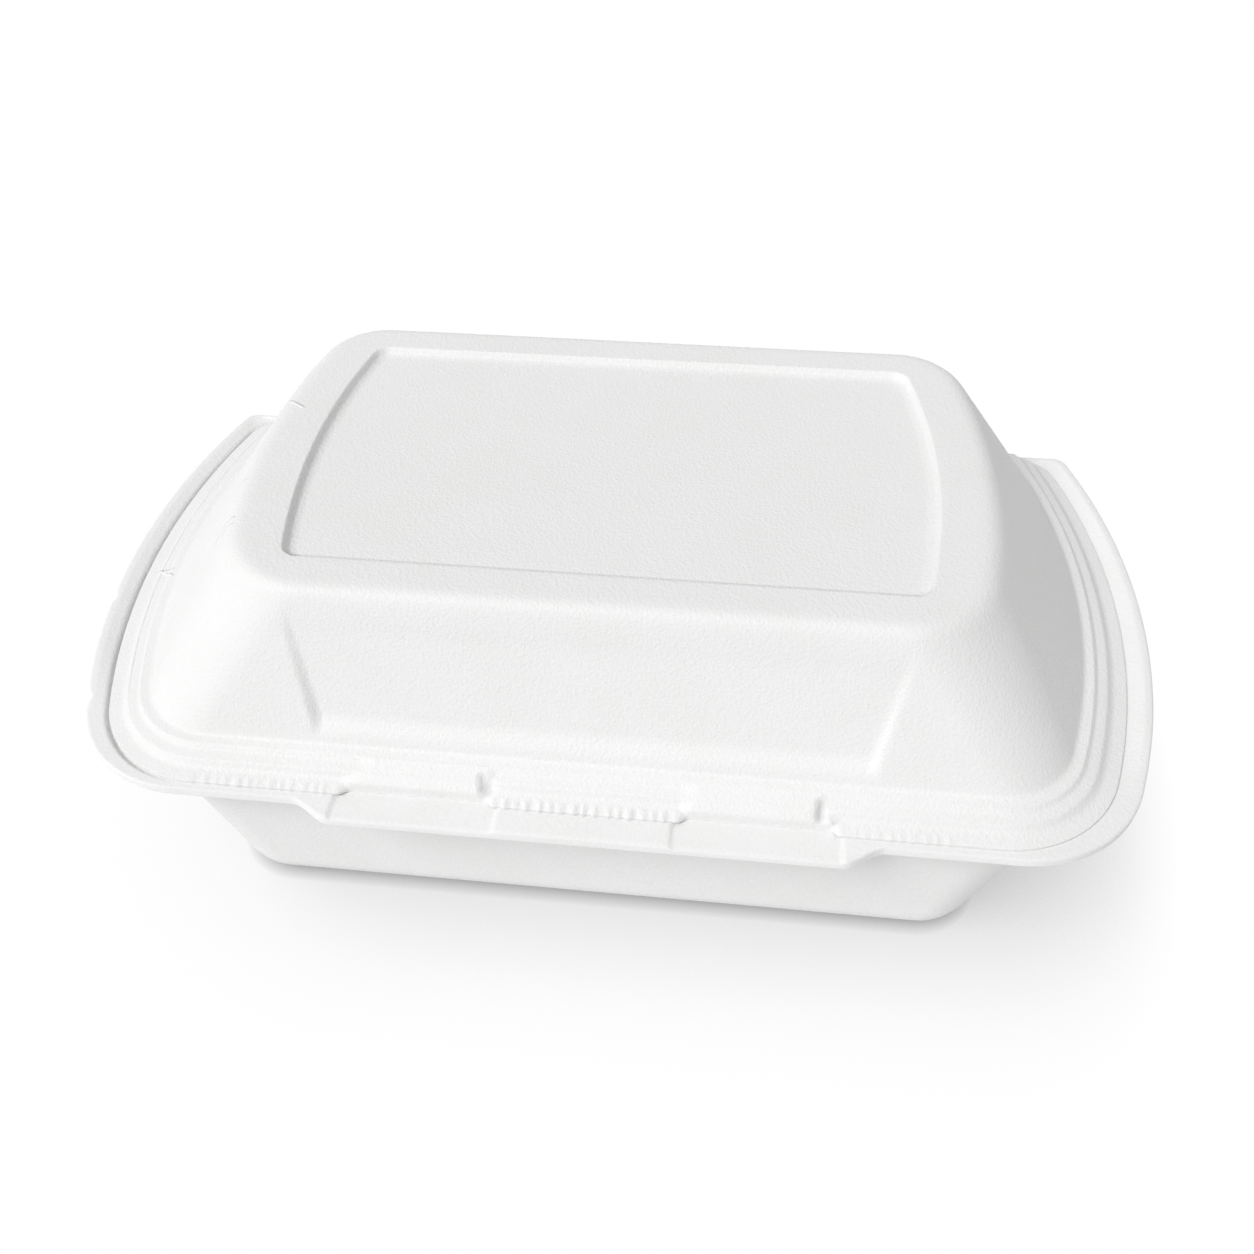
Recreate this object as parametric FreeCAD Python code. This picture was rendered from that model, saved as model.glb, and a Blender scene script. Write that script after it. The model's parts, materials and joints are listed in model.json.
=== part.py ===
"""Hinged foam food container: a deep tray and a domed lid, thermoformed from one sheet."""
import FreeCAD, Part
import math
import os
from collections import namedtuple

V = FreeCAD.Vector

# Overall sizes, millimetres. X runs along the front, Y from front to hinge, Z up.
length = 244.0
depth = 131.5
tray_depth = 43.0
lid_rise = 36.3

# The sheet
wall = 2.4
rim_sheet = 1.3
rim_inset = 0.6
closing_gap = 0.3

# Base lip and front tab
lip_thickness = 2.5
tab_reach = 5.7
tab_half = 52.0
tab_shoulder = 9.0
lip_front_reach = 1.5
lip_side_reach = 5.5
lip_rise = 1.3
lip_crest_width = 1.8
lip_rise_start = 12.0
lip_rise_end = 36.0
catch_inner = 18.0
catch_drop = 0.5

# Plan curves
side_radius = 160.0
widest_from_crimp = 69.0
lip_corner = 28.0
lip_rear_corner = 3.0
edge_corner = 27.0
edge_rear_corner = 10.0

# Lid rim, from its cut edge inwards: flange, bead step, outer ledge, small step, inner ledge
cut_edge = 0.4
flange = 3.2
flange_back = 0.7
flange_rise = 0.6
bead_side = 1.4
bead_front = 1.0
bead_back = 0.8
bead_rise = 1.4
outer_ledge = 2.2
outer_ledge_back = 0.4
outer_ledge_rise = 0.5
step_slope = 0.9
step_back = 0.6
step_rise = 0.9
inner_ledge = 2.3
inner_ledge_back = 1.6
inner_ledge_rise = 0.2

# Dome of the lid
dome_top_half = 81.0
dome_top_front = 23.5
dome_top_back = 6.7
dome_front_corner = 20.0
dome_rear_corner = 14.0
dome_base_corner = 18.0
dome_edge_round = 4.5

# Sunk panel in the top
panel_half = 68.5
panel_front = 33.6
panel_back = 16.5
panel_corner = 3.0
panel_drop = 1.5
panel_slope = 1.0

# Set-back field in the front wall, between two ribs
field_half_low = 57.4
field_half_high = 62.4
field_low = 3.6
field_high = 26.3
field_setback = 2.0

# Locking lugs on the lid's front: a flat slope down to a blunt nose
lug_start = 19.7
lug_end = 45.4
lug_end_slope = 2.2
lug_foot_inset = 1.2
lug_nose_lean = 0.3
lug_nose_height = 2.2

# Tray
tray_top_half = 111.0
tray_top_front = 4.6
tray_top_back = 7.0
tray_top_corner = 22.0
tray_mouth_corner = 20.5
tray_bottom_half = 93.8
tray_bottom_front = 5.8
tray_bottom_back = 10.5
tray_bottom_corner = 13.0
tray_edge_round = 6.0

# Fold along the back
fold_radius = 1.6
fold_clearance = 0.3

# Reference lines that the sizes give
crimp_y = tab_reach - depth / 2
hinge_y = depth / 2 - fold_radius
widest_y = crimp_y + widest_from_crimp
rim_z = tray_depth
edge_z = rim_z + closing_gap
top_z = tray_depth + lid_rise

Outline = namedtuple("Outline", "half front back side_radius front_corner back_corner")


def inset(outline, side, front=None, back=None):
    """The outline moved inwards, by one distance or by its own at the side, front and back."""
    front = side if front is None else front
    back = side if back is None else back
    shrink = min(side, front)
    return Outline(outline.half - side, outline.front + front, outline.back - back,
                   outline.side_radius - side,
                   max(outline.front_corner - shrink, 1.0), max(outline.back_corner - shrink, 1.0))


def corner_points(outline, y_line, radius, inward):
    """Tangent points and middle of one right-hand corner: on the straight edge, on the bowed side."""
    side_x = outline.half - outline.side_radius
    centre_y = y_line + inward * radius
    reach = outline.side_radius - radius
    centre_x = side_x + math.sqrt(reach ** 2 - (centre_y - widest_y) ** 2)
    to_side = V(centre_x - side_x, centre_y - widest_y, 0).normalize()
    centre = V(centre_x, centre_y, 0)
    to_line = V(0, -inward, 0)
    between = (to_side + to_line).normalize()
    return centre + to_line * radius, centre + between * radius, centre + to_side * radius


def mirrored(point):
    """The same point on the left-hand half."""
    return V(-point.x, point.y, point.z)


def outline_wire(outline, z):
    """Closed wire: straight front and back, bowed sides, round corners, all tangent."""
    front_line, front_mid, front_side = corner_points(outline, outline.front, outline.front_corner, 1)
    back_line, back_mid, back_side = corner_points(outline, outline.back, outline.back_corner, -1)
    side_mid = V(outline.half, widest_y, 0)
    right = [front_line, front_mid, front_side, side_mid, back_side, back_mid, back_line]
    lift = V(0, 0, z)
    right = [p + lift for p in right]
    left = [mirrored(p) for p in right]
    edges = [Part.LineSegment(left[0], right[0]).toShape()]
    edges += [Part.Arc(right[i], right[i + 1], right[i + 2]).toShape() for i in (0, 2, 4)]
    edges += [Part.LineSegment(right[6], left[6]).toShape()]
    edges += [Part.Arc(left[i], left[i - 1], left[i - 2]).toShape() for i in (6, 4, 2)]
    return Part.Wire(edges)


def frustum(lower, z_lower, upper, z_upper):
    """Solid with straight walls from one outline to another."""
    return Part.makeLoft([outline_wire(lower, z_lower), outline_wire(upper, z_upper)], True, True)


def prism(outline, z_lower, z_upper):
    """Solid with upright walls."""
    face = Part.Face(outline_wire(outline, z_lower))
    return face.extrude(V(0, 0, z_upper - z_lower))


def edges_at(shape, z):
    """The edges of a solid that lie wholly at one height."""
    return [e for e in shape.Edges if all(abs(v.Point.z - z) < 1e-6 for v in e.Vertexes)
            and abs(e.BoundBox.ZLength) < 1e-3]


def box_between(low, high):
    """Block between two opposite corners."""
    return Part.makeBox(high.x - low.x, high.y - low.y, high.z - low.z, low)


def between(lower, z_lower, upper, z_upper, z):
    """The outline that a straight wall between two outlines has at a height."""
    share = (z - z_lower) / (z_upper - z_lower)
    return Outline(*[a + (b - a) * share for a, b in zip(lower, upper)])


# Outlines of the lid, outer face
edge = Outline(length / 2 - lip_side_reach, crimp_y, hinge_y, side_radius, edge_corner, edge_rear_corner)
flange_in = inset(edge, flange, flange, flange_back)
bead_top = inset(flange_in, bead_side, bead_front, bead_back)
ledge_in = inset(bead_top, outer_ledge, outer_ledge, outer_ledge_back)
step_top = inset(ledge_in, step_slope, step_slope, step_back)
dome_base = inset(step_top, inner_ledge, inner_ledge, inner_ledge_back)._replace(
    front_corner=dome_base_corner, back_corner=dome_base_corner)
dome_top = Outline(dome_top_half, crimp_y + dome_top_front, hinge_y - dome_top_back, side_radius,
                   dome_front_corner, dome_rear_corner)
panel = Outline(panel_half, crimp_y + panel_front, hinge_y - panel_back, side_radius,
                panel_corner, panel_corner)

cut_z = edge_z + cut_edge
flange_z = cut_z + flange_rise
bead_z = flange_z + bead_rise
outer_z = bead_z + outer_ledge_rise
step_z = outer_z + step_rise
ledge_z = step_z + inner_ledge_rise
ceiling_z = top_z - wall
rim_ceiling_z = bead_z - rim_sheet

# Outlines of the tray, outer face, and of its lip
lip = inset(edge, -lip_side_reach, -lip_front_reach, 0)._replace(
    front_corner=lip_corner, back_corner=lip_rear_corner)
lip_crest = inset(lip, lip_crest_width)
tray_top = Outline(tray_top_half, crimp_y + tray_top_front, hinge_y - tray_top_back, side_radius,
                   tray_top_corner, tray_top_corner)
tray_bottom = Outline(tray_bottom_half, crimp_y + tray_bottom_front, hinge_y - tray_bottom_back,
                      side_radius, tray_bottom_corner, tray_bottom_corner)


def through_wall(lower, upper, rise, thickness):
    """How far a sloping wall's inner face lies from its outer one, level, at side, front and back."""
    runs = (lower.half - upper.half, upper.front - lower.front, lower.back - upper.back)
    return [thickness * math.hypot(run, rise) / rise for run in runs]


def front_wall_y(z):
    """Where the dome's outer face stands at the front, at a height."""
    return between(dome_base, ledge_z, dome_top, top_z, z).front


def rectangle_wire(half, y_low, y_high, z):
    """Level rectangle, centred left to right."""
    corners = [V(-half, y_low, z), V(half, y_low, z), V(half, y_high, z), V(-half, y_high, z)]
    return Part.makePolygon(corners + corners[:1])


def field_tool(grow, behind):
    """What the set-back field takes from the front wall; grown and moved back, what the inside keeps."""
    z_low = ledge_z + field_low - grow
    z_high = ledge_z + field_high
    y_out = crimp_y - tab_reach
    low = rectangle_wire(field_half_low + grow, y_out, front_wall_y(z_low) + field_setback + behind, z_low)
    high = rectangle_wire(field_half_high + grow, y_out, front_wall_y(z_high) + behind, z_high)
    return Part.makeLoft([low, high], True, True)


def lug(side):
    """One locking lug: a slope from the inner ledge's edge to a blunt nose that stands on the tab."""
    foot_z = rim_z - catch_drop + closing_gap
    foot_y = edge.front + lug_foot_inset
    top = V(lug_start, step_top.front, step_z)
    nose = V(lug_start, foot_y + lug_nose_lean, foot_z + lug_nose_height)
    foot = V(lug_start, foot_y, foot_z)
    heel = V(lug_start, step_top.front, foot_z)
    wedge = Part.Face(Part.makePolygon([top, nose, foot, heel, top])).extrude(V(lug_end - lug_start, 0, 0))
    nose_ends = [e for e in wedge.Edges if abs(e.BoundBox.XLength) < 1e-6
                 and abs(e.BoundBox.YMin - heel.y) > 1e-6 and e.BoundBox.ZLength > 1e-3]
    wedge = wedge.makeChamfer(lug_end_slope, nose_ends)
    return wedge if side > 0 else wedge.mirror(V(0, 0, 0), V(1, 0, 0))


def lug_notch(side):
    """What each lug's nose takes out of the flange in front of it."""
    low = V(lug_start, edge.front - flange, rim_z - wall)
    high = V(lug_end, edge.front + lug_foot_inset, bead_z)
    block = box_between(low, high)
    return block if side > 0 else block.mirror(V(0, 0, 0), V(1, 0, 0))


def fold_rod(radius, half):
    """Cylinder along the fold."""
    start = V(-half, hinge_y, fold_z)
    return Part.makeCylinder(radius, 2 * half, start, V(1, 0, 0))


def make_lid():
    """Stepped rim, drafted dome with a sunk panel, ribs at the front and two lugs; hollow below."""
    rise = top_z - ledge_z
    dome = frustum(dome_base, ledge_z, dome_top, top_z)
    dome = dome.makeFillet(dome_edge_round, edges_at(dome, top_z))
    outer = prism(edge, edge_z, cut_z)
    levels = [(edge, cut_z), (flange_in, flange_z), (bead_top, bead_z), (ledge_in, outer_z),
              (step_top, step_z), (dome_base, ledge_z)]
    steps = [frustum(*lower, *upper) for lower, upper in zip(levels, levels[1:])]
    outer = outer.fuse(steps + [dome]).cut([lug_notch(1), lug_notch(-1)])
    outer = outer.fuse([lug(1), lug(-1)])

    in_low = inset(dome_base, *through_wall(dome_base, dome_top, rise, wall))
    in_high = inset(dome_top, *through_wall(dome_base, dome_top, rise, wall))
    at_rim = between(in_low, ledge_z, in_high, top_z, rim_ceiling_z)
    at_ceiling = between(in_low, ledge_z, in_high, top_z, ceiling_z)
    hollow = frustum(at_rim, rim_ceiling_z, at_ceiling, ceiling_z)
    hollow = hollow.makeFillet(dome_edge_round - wall, edges_at(hollow, ceiling_z))
    panel_boss = prism(inset(panel, -wall), ceiling_z - panel_drop, ceiling_z + wall)
    behind = through_wall(dome_base, dome_top, rise, wall)[1]
    hollow = hollow.cut([panel_boss, field_tool(wall, behind)])
    rim_hollow = frustum(hollow_foot, rim_z, hollow_roof, rim_ceiling_z)
    rim_mouth = prism(hollow_foot, rim_z - wall, rim_z)

    recess = frustum(panel, top_z - panel_drop, inset(panel, -panel_slope), top_z)
    behind_fold = box_between(V(-length, hinge_y - fold_clearance, rim_z - wall),
                              V(length, hinge_y + depth, top_z + wall))
    groove = fold_rod(fold_radius + fold_clearance, length / 2)
    return outer.cut([hollow, rim_hollow, rim_mouth, recess, field_tool(0, 0), behind_fold, groove])


def rise_zone(drop):
    """Everything under the lip's top line, which climbs from the front corner to the side."""
    y_start = crimp_y + lip_rise_start
    y_end = crimp_y + lip_rise_end
    third = (y_end - y_start) / 3
    x = -length
    low_z = rim_z - drop
    high_z = rim_z + lip_rise - drop
    climb = Part.BezierCurve()
    climb.setPoles([V(x, y_start, low_z), V(x, y_start + third, low_z),
                    V(x, y_end - third, high_z), V(x, y_end, high_z)])
    floor_z = low_z - tray_depth
    rest = Part.makePolygon([V(x, y_end, high_z), V(x, depth, high_z), V(x, depth, floor_z),
                             V(x, y_start, floor_z), V(x, y_start, low_z)])
    wire = Part.Wire([climb.toShape()] + rest.Edges)
    return Part.Face(wire).extrude(V(2 * length, 0, 0))


def tab():
    """The wide front tab, with an S-shaped shoulder at each end."""
    y_out = crimp_y - tab_reach
    y_in = crimp_y - lip_front_reach
    out = V(tab_half, y_out, 0)
    inn = V(tab_half + tab_shoulder, y_in, 0)
    turn = V((out.x + inn.x) / 2, (out.y + inn.y) / 2, 0)
    half_angle = math.atan2(y_in - y_out, tab_shoulder)
    radius = tab_shoulder / 2 / math.sin(2 * half_angle)
    sag = V(math.sin(half_angle), 1 - math.cos(half_angle), 0) * radius
    mid_out = V(out.x + sag.x, out.y + sag.y, 0)
    mid_inn = V(inn.x - sag.x, inn.y - sag.y, 0)
    back = crimp_y + lip_thickness
    edges = [Part.Arc(out, mid_out, turn).toShape(), Part.Arc(turn, mid_inn, inn).toShape()]
    edges += [Part.makePolygon([inn, V(inn.x, back, 0), V(-inn.x, back, 0), mirrored(inn)])]
    edges += [Part.Arc(mirrored(inn), mirrored(mid_inn), mirrored(turn)).toShape(),
              Part.Arc(mirrored(turn), mirrored(mid_out), mirrored(out)).toShape()]
    edges += [Part.LineSegment(mirrored(out), out).toShape()]
    flat = Part.Face(Part.Wire(Part.__sortEdges__([e for s in edges for e in s.Edges])))
    flat.translate(V(0, 0, rim_z - lip_thickness))
    return flat.extrude(V(0, 0, lip_thickness))


def catch_pocket(side):
    """The slightly lower zone of the tab that a lug closes on."""
    low = V(catch_inner, crimp_y - 2 * tab_reach, rim_z - catch_drop)
    high = V(tab_half, hollow_foot.front + closing_gap, rim_z + wall)
    block = box_between(low, high)
    return block if side > 0 else block.mirror(V(0, 0, 0), V(1, 0, 0))


def make_tray():
    """Deep drafted tray with a hollow bead inside the lid's rim, a raised side lip and a front tab."""
    under_z = rim_z - lip_thickness
    plate = prism(lip, under_z, rim_z).fuse(tab())
    inner_low = inset(edge, -closing_gap)._replace(back=depth)
    slope_void = frustum(inner_low, rim_z, lip_crest._replace(back=depth), rim_z + lip_rise)
    raised = prism(lip, rim_z, rim_z + lip_rise).cut(slope_void).common(rise_zone(0))
    around = prism(inset(lip, -lip_side_reach)._replace(back=depth), under_z - wall, under_z + lip_rise)
    under_plug = frustum(inner_low, under_z, lip_crest._replace(back=depth), under_z + lip_rise)
    under_plug = under_plug.fuse(prism(inner_low, under_z - wall, under_z))
    under_void = around.cut(under_plug).common(rise_zone(lip_thickness))

    body = frustum(tray_bottom, 0, tray_top, rim_z)
    body = body.makeFillet(tray_edge_round, edges_at(body, 0))
    bead_roof_z = rim_ceiling_z - closing_gap
    bead_foot = inset(hollow_foot, closing_gap)
    bead_roof = inset(hollow_roof, closing_gap)
    bead = frustum(bead_foot, rim_z, bead_roof, bead_roof_z)

    steps = through_wall(tray_top, tray_bottom, rim_z, wall)
    in_bottom = inset(tray_bottom, *steps)
    in_top = inset(tray_top, *steps)._replace(front_corner=tray_mouth_corner, back_corner=tray_mouth_corner)
    mouth_z = bead_roof_z + wall
    hollow = frustum(between(in_bottom, 0, in_top, rim_z, wall), wall,
                     between(in_bottom, 0, in_top, rim_z, mouth_z), mouth_z)
    hollow = hollow.makeFillet(tray_edge_round - wall, edges_at(hollow, wall))
    tray = plate.cut(under_void).fuse([raised, body, bead])
    tray = tray.cut([hollow, catch_pocket(1), catch_pocket(-1)])
    return tray.fuse(fold_rod(fold_radius, fold_half))


# The hollow under the lid's rim, which the tray's bead fills but for the closing gap
dome_foot_back = between(dome_base, ledge_z, dome_top, top_z, rim_z).back - wall
hollow_foot = inset(flange_in, rim_inset)._replace(back=dome_foot_back, back_corner=dome_base_corner)
hollow_roof = inset(bead_top, rim_inset)._replace(back=dome_foot_back, back_corner=dome_base_corner)
fold_z = rim_z + closing_gap / 2
fold_half = corner_points(edge, edge.back, edge.back_corner, -1)[0].x

os.makedirs("parts", exist_ok=True)
for name, make in (("base_tray", make_tray), ("lid", make_lid)):
    shape = make()
    shape = shape.removeSplitter()
    shape.exportStep("parts/" + name + ".step")
    print(name, "holds", round(shape.Volume / 1000, 1), "cubic centimetres")
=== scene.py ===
# %% [markdown]
# A hinged foam food container. On the real object one sheet of white foam is drawn over a mould
# into a deep tray and a domed lid, trimmed, and folded along the back. The solids of the packed
# model are loaded first, and every surface below is placed from them. Each surface could be
# modelled by hand with an edit cage; here it is worked out with numpy, because a drawn sheet is
# a profile carried round a plan outline, which is short to write and exact.

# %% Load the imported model
import bpy
import json
import math
import numpy as np
from mathutils import Euler, Matrix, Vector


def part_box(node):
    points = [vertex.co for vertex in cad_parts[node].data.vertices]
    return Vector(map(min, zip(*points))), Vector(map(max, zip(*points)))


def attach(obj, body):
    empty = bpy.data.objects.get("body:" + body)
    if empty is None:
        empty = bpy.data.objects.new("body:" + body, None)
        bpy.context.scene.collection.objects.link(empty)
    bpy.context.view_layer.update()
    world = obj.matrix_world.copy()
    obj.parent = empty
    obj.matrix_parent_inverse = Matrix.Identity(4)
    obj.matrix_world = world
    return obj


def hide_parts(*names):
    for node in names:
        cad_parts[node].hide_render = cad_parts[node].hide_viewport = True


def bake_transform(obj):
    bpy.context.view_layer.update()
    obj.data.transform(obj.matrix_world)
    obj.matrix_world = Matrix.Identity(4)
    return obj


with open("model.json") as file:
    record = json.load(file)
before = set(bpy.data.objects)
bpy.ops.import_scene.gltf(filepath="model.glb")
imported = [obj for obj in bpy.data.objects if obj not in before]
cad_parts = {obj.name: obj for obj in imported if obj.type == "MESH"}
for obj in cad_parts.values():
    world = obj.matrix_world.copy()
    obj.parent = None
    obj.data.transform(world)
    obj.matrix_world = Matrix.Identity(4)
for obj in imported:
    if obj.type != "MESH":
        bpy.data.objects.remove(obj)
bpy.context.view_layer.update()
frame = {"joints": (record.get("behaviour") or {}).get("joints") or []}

MM = 0.001

# %% [markdown]
# All sizes below are in millimetres. The overall ones are read from the solids and from the
# joint, so that the surfaces follow the model; the others are the steps of the moulded rim, as
# they are counted off the real rim from its cut edge inwards.

# %% Sizes of the container
tray_low, tray_high = [np.array(corner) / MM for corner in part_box("base_tray")]
lid_high = np.array(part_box("lid")[1]) / MM
hinge = np.array(frame["joints"][0]["pos_m"]) / MM

wall = 2.4
rim_sheet = 1.3
rim_inset = 0.6
closing_gap = 0.3
tab_reach = 5.7
lip_thickness = 2.5

half_length = tray_high[0]
crimp_y = tray_low[1] + tab_reach
hinge_y = hinge[1]
rim_z = hinge[2] - closing_gap / 2
top_z = lid_high[2]
widest_y = crimp_y + 69.0
side_radius = 160.0
print("half length", half_length, "crimp line", crimp_y, "hinge", hinge_y, "rim", rim_z, "top", top_z)

# %% [markdown]
# The photograph looks down at the front from a short distance, a little from the right. The
# camera was worked out from the container's own straight edges: its place is given from the
# middle of the front crimp line, and its three turns are a tilt, a roll and a turn about Z.
# Perspective matters here: the near rim looks about 1.4 times as large as the far one.

# %% Camera
camera_from_crimp = np.array([26.05, -129.91, 195.62])
camera_tilt = 43.323
camera_roll = -1.234
camera_turn = 7.166
focal_pixels = 1150.0
image_pixels = 1254.0

camera_data = bpy.data.cameras.new("camera")
camera_data.sensor_width = 36.0
camera_data.lens = focal_pixels / image_pixels * camera_data.sensor_width
camera = bpy.data.objects.new("camera", camera_data)
bpy.context.scene.collection.objects.link(camera)
place = (camera_from_crimp + np.array([0.0, crimp_y, rim_z])) * MM
turned = (Matrix.Rotation(math.radians(camera_turn), 4, "Z")
          @ Matrix.Rotation(math.radians(camera_tilt), 4, "X")
          @ Matrix.Rotation(math.radians(camera_roll), 4, "Z"))
camera.matrix_world = Matrix.Translation(place.tolist()) @ turned
camera_data.clip_start = 0.01
bpy.context.scene.camera = camera
print("camera at", place, "lens", round(camera_data.lens, 2))

# %% [markdown]
# The light is a bright overcast studio: a soft, broad lamp from the upper left front, and a
# white surround that fills every shadow. A sun lamp with a wide angle gives the same soft light
# all over the object. The floor is white paper. To the eye it is a clean white glow with a painted
# contact shadow in it: ambient occlusion darkens the glow wherever the container stands close over
# it, more on the side away from the lamp, and paints a thin darker line where it touches the paper.
# To light that bounces it is an ordinary pale floor.

# %% Light and floor
def link(tree, out_node, out_name, in_node, in_name):
    """Joins two sockets by name or place."""
    tree.links.new(out_node.outputs[out_name], in_node.inputs[in_name])


def seen_directly(tree):
    """A value that is 1 for rays from the eye, a mirror or a glass, and 0 for light that bounces."""
    path = tree.nodes.new("ShaderNodeLightPath")
    either = tree.nodes.new("ShaderNodeMath")
    either.operation = "MAXIMUM"
    link(tree, path, "Is Camera Ray", either, 0)
    link(tree, path, "Is Glossy Ray", either, 1)
    every = tree.nodes.new("ShaderNodeMath")
    every.operation = "MAXIMUM"
    link(tree, either, 0, every, 0)
    link(tree, path, "Is Transmission Ray", every, 1)
    return every


surround_strength = 0.42
lamp_strength = 2.02
lamp_softness = 26.0
lamp_towards = np.array([-0.47, -0.45, 0.76])

scene = bpy.context.scene
scene.view_settings.view_transform = "Standard"
world = bpy.data.worlds.new("white_surround")
world.use_nodes = True
scene.world = world
background = world.node_tree.nodes["Background"]
background.inputs["Color"].default_value = (1.0, 1.0, 1.0, 1.0)
level = world.node_tree.nodes.new("ShaderNodeMapRange")
level.inputs["To Min"].default_value = surround_strength
level.inputs["To Max"].default_value = 1.0
link(world.node_tree, seen_directly(world.node_tree), 0, level, "Value")
link(world.node_tree, level, 0, background, "Strength")

lamp_data = bpy.data.lights.new("soft_lamp", "SUN")
lamp_data.energy = lamp_strength
lamp_data.angle = math.radians(lamp_softness)
lamp = bpy.data.objects.new("soft_lamp", lamp_data)
scene.collection.objects.link(lamp)
azimuth = math.atan2(lamp_towards[1], lamp_towards[0])
slant = math.acos(lamp_towards[2] / np.linalg.norm(lamp_towards))
lamp.matrix_world = Euler((0.0, slant, azimuth)).to_matrix().to_4x4()

floor_half = 4.0
floor_tone = 0.85
shadow_reach = 0.044
shadow_depth = 0.72
shadow_focus = 1.6
shadow_from = (-0.75, -0.05, 0.72)
shadow_rays = 8
contact_reach = 0.0035
contact_depth = 0.55
contact_rays = 4
floor_mesh = bpy.data.meshes.new("floor")
floor_corners = [(-floor_half, -floor_half, 0), (floor_half, -floor_half, 0),
                 (floor_half, floor_half, 0), (-floor_half, floor_half, 0)]
floor_mesh.from_pydata(floor_corners, [], [(0, 1, 2, 3)])
floor = bpy.data.objects.new("floor", floor_mesh)
scene.collection.objects.link(floor)
paper = bpy.data.materials.new("white_paper_floor")
paper.use_nodes = True
paper_tree = paper.node_tree
paper_shader = paper_tree.nodes["Principled BSDF"]
paper_shader.inputs["Base Color"].default_value = (floor_tone, floor_tone, floor_tone, 1.0)
paper_shader.inputs["Roughness"].default_value = 0.9
paper_shader.inputs["Specular IOR Level"].default_value = 0.0
# Painted shadow: ambient occlusion, tilted away from the lamp, darkens the floor's glow near the
# container; the eye sees no shadow of the lamp on the floor.
openness = paper_tree.nodes.new("ShaderNodeAmbientOcclusion")
openness.inputs["Distance"].default_value = shadow_reach
openness.samples = shadow_rays
tilted = paper_tree.nodes.new("ShaderNodeCombineXYZ")
for socket, part in zip(tilted.inputs, shadow_from):
    socket.default_value = part
link(paper_tree, tilted, 0, openness, "Normal")
closed_in = paper_tree.nodes.new("ShaderNodeMath")
closed_in.operation = "SUBTRACT"
closed_in.inputs[0].default_value = 1.0
link(paper_tree, openness, "AO", closed_in, 1)
focused = paper_tree.nodes.new("ShaderNodeMath")
focused.operation = "POWER"
focused.inputs[1].default_value = shadow_focus
link(paper_tree, closed_in, 0, focused, 0)
# Painted shadow level: 1 on open floor, down to 1 - shadow_depth where the occlusion is full.
painted_shadow_level = paper_tree.nodes.new("ShaderNodeMapRange")
painted_shadow_level.inputs["To Min"].default_value = 1.0
painted_shadow_level.inputs["To Max"].default_value = 1.0 - shadow_depth
link(paper_tree, focused, 0, painted_shadow_level, "Value")
# Painted contact line: a short-range occlusion darkens the glow right where the tray touches the
# paper.
contact = paper_tree.nodes.new("ShaderNodeAmbientOcclusion")
contact.inputs["Distance"].default_value = contact_reach
contact.samples = contact_rays
painted_contact_line = paper_tree.nodes.new("ShaderNodeMapRange")
painted_contact_line.inputs["To Min"].default_value = 1.0 - contact_depth
painted_contact_line.inputs["To Max"].default_value = 1.0
link(paper_tree, contact, "AO", painted_contact_line, "Value")
painted_floor_shade = paper_tree.nodes.new("ShaderNodeMath")
painted_floor_shade.operation = "MULTIPLY"
link(paper_tree, painted_shadow_level, 0, painted_floor_shade, 0)
link(paper_tree, painted_contact_line, 0, painted_floor_shade, 1)
# The eye sees the paper as an emitted glow with the painted shade in it; bounced light sees the pale
# diffuse floor.
paper_glow_with_painted_shadow = paper_tree.nodes.new("ShaderNodeEmission")
link(paper_tree, painted_floor_shade, 0, paper_glow_with_painted_shadow, "Strength")
by_ray = paper_tree.nodes.new("ShaderNodeMixShader")
link(paper_tree, seen_directly(paper_tree), 0, by_ray, 0)
link(paper_tree, paper_shader, 0, by_ray, 1)
link(paper_tree, paper_glow_with_painted_shadow, 0, by_ray, 2)
link(paper_tree, by_ray, 0, paper_tree.nodes["Material Output"], "Surface")
floor_mesh.materials.append(paper)
print("lamp slant", round(math.degrees(slant), 1), "floor", floor_half * 2, "m wide")

# %% [markdown]
# Every level of the container has a plan outline of one family: a straight front and back, sides
# that bow outwards on a long radius, and round corners that meet them without a kink. It could
# be drawn as a curve for each level; a formula does all levels at once. An outline is seven
# numbers: half width, front line, back line, side radius, front corner, rear corner and height.

# %% Outlines
front_points = 175
corner_points = 26
side_points = 64
rear_corner_points = 18
rear_points = 26
smallest_corner = 0.8
longest_cut = 0.47


def outline(half, front, back, front_corner, rear_corner, height, bow=side_radius):
    """One plan outline as a row of seven numbers, in millimetres."""
    return np.array([half, front, back, bow, front_corner, rear_corner, height], float)


def moved(station, side, front, back, up):
    """The outline drawn inwards by its own amounts at the side, front and back, and lifted."""
    shrink = min(side, front)
    step = np.array([-side, front, -back, -side, -shrink, -shrink, up])
    out = station + step
    out[4:6] = np.maximum(out[4:6], smallest_corner)
    return out


def between(lower, upper, height):
    """The outline that a straight wall between two outlines has at a height."""
    share = (height - lower[6]) / (upper[6] - lower[6])
    return lower + (upper - lower) * share


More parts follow.
